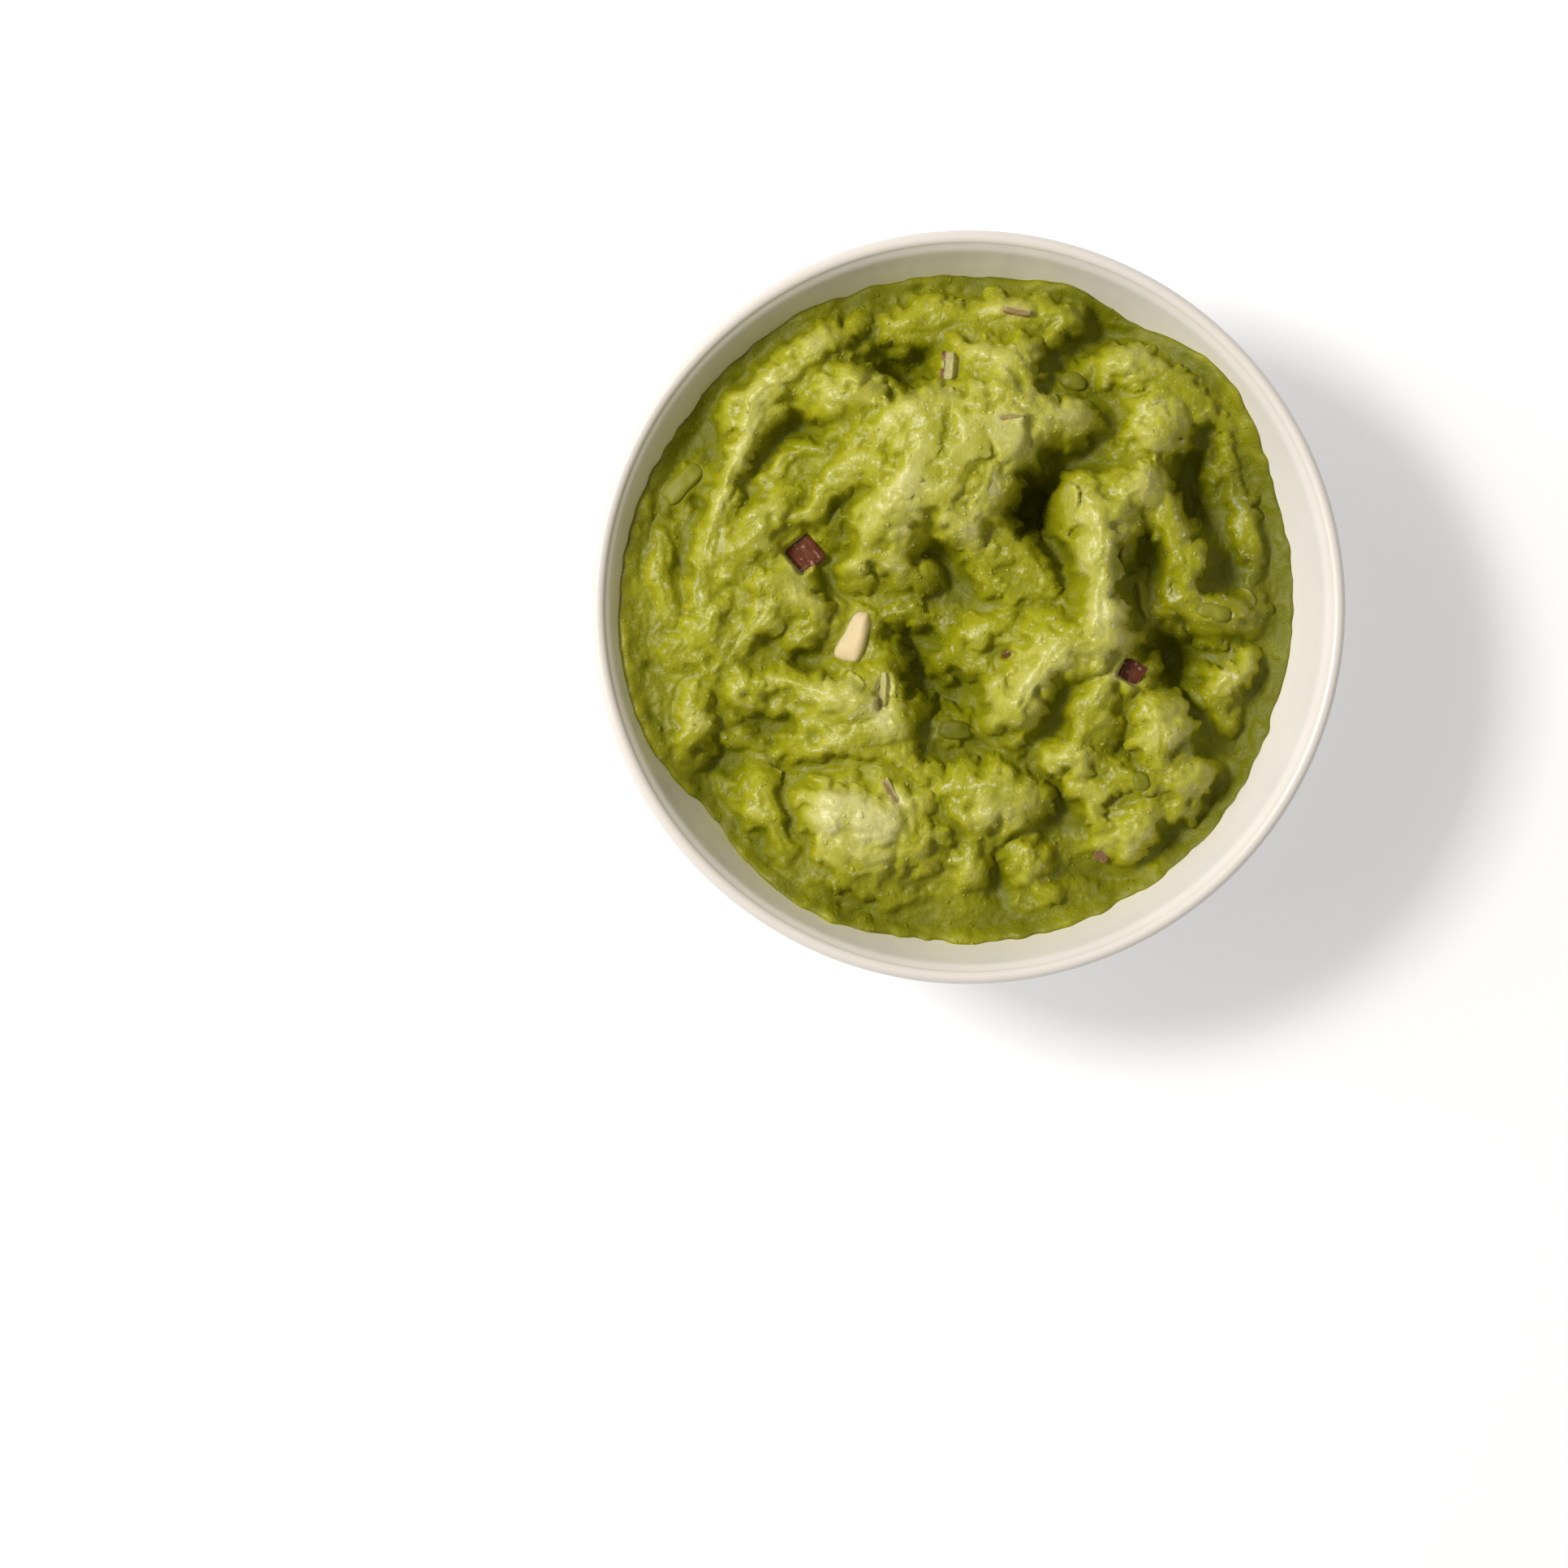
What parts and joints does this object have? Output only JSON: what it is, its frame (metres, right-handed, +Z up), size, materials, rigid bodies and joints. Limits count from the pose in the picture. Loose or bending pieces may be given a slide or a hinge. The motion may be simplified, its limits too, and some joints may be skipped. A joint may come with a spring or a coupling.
{
  "type": "bowl of guacamole",
  "caption": "A small round white glazed bowl on a low foot, heaped with chunky mashed avocado that is folded over itself, with diced red onion and whole bits of avocado on top.",
  "frame": {"origin": "on the table, under the middle of the bowl's foot ring", "axes": "+Z up, the bowl's axis; +X to the right of the view from above with +Y away, so the high fold of the mash lies towards +Y and its hollow right of the middle"},
  "size_m": [0.115, 0.115, 0.0522],
  "materials": {
    "glaze": "glossy warm white glaze",
    "mash": "wet mashed avocado, yellow-green",
    "red_onion": "wet raw red onion, maroon skin side",
    "avocado_flesh": "moist whole avocado flesh, pale"
  },
  "bodies": {
    "root": {"bowl": "glaze", "guacamole": "mash", "onion_dice_left": "red_onion", "onion_dice_right": "red_onion", "onion_sliver_front": "red_onion", "onion_sliver_back": "red_onion", "onion_sliver_middle": "red_onion", "onion_dice_back": "red_onion", "onion_stick": "red_onion", "onion_bit_middle": "red_onion", "onion_bit_front": "red_onion", "onion_bit_back": "red_onion", "avocado_chunk_cream": "avocado_flesh", "avocado_slice_left": "avocado_flesh", "avocado_slice_right": "avocado_flesh", "avocado_chunk_side": "avocado_flesh", "avocado_chunk_middle": "avocado_flesh", "avocado_chunk_back": "avocado_flesh", "avocado_chunk_front": "avocado_flesh"}
  },
  "joints": []
}
